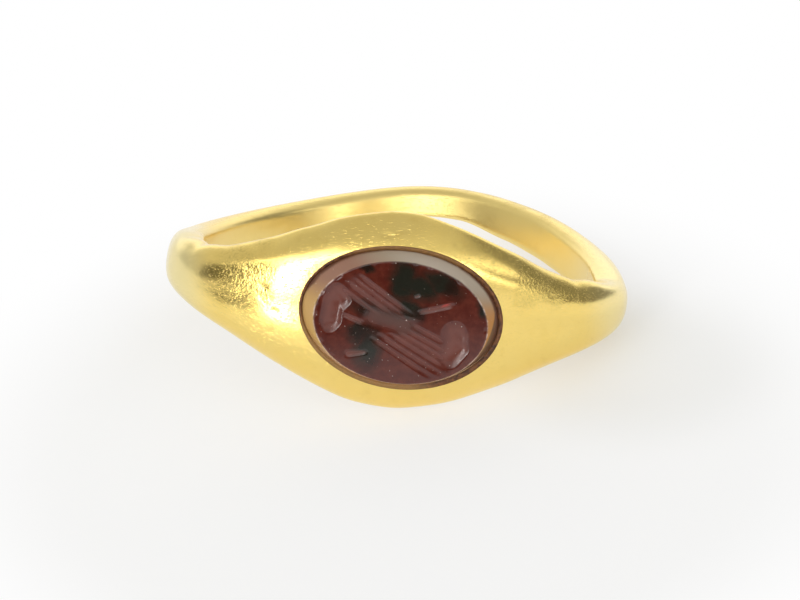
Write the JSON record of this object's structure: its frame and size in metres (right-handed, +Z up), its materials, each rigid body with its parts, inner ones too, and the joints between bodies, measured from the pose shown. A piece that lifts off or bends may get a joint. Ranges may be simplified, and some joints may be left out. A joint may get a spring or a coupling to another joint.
{
  "type": "finger ring with intaglio gem",
  "caption": "Gold finger ring lying on its side, its shoulders widening to a bezel that holds an oval red stone engraved in intaglio.",
  "frame": {"origin": "middle of the ring's footprint, on the plane that the ring lies on", "axes": "+Z up as the ring lies on its side, -Y the way the engraved face looks in plan, +X along the long axis of the bezel"},
  "size_m": [0.0228, 0.021, 0.0099],
  "materials": {
    "gold": "satin",
    "cement": "matte",
    "stone": "polished"
  },
  "bodies": {
    "root": {"ring_hoop": "gold", "setting_cement": "cement", "intaglio_stone": "stone"}
  },
  "joints": []
}
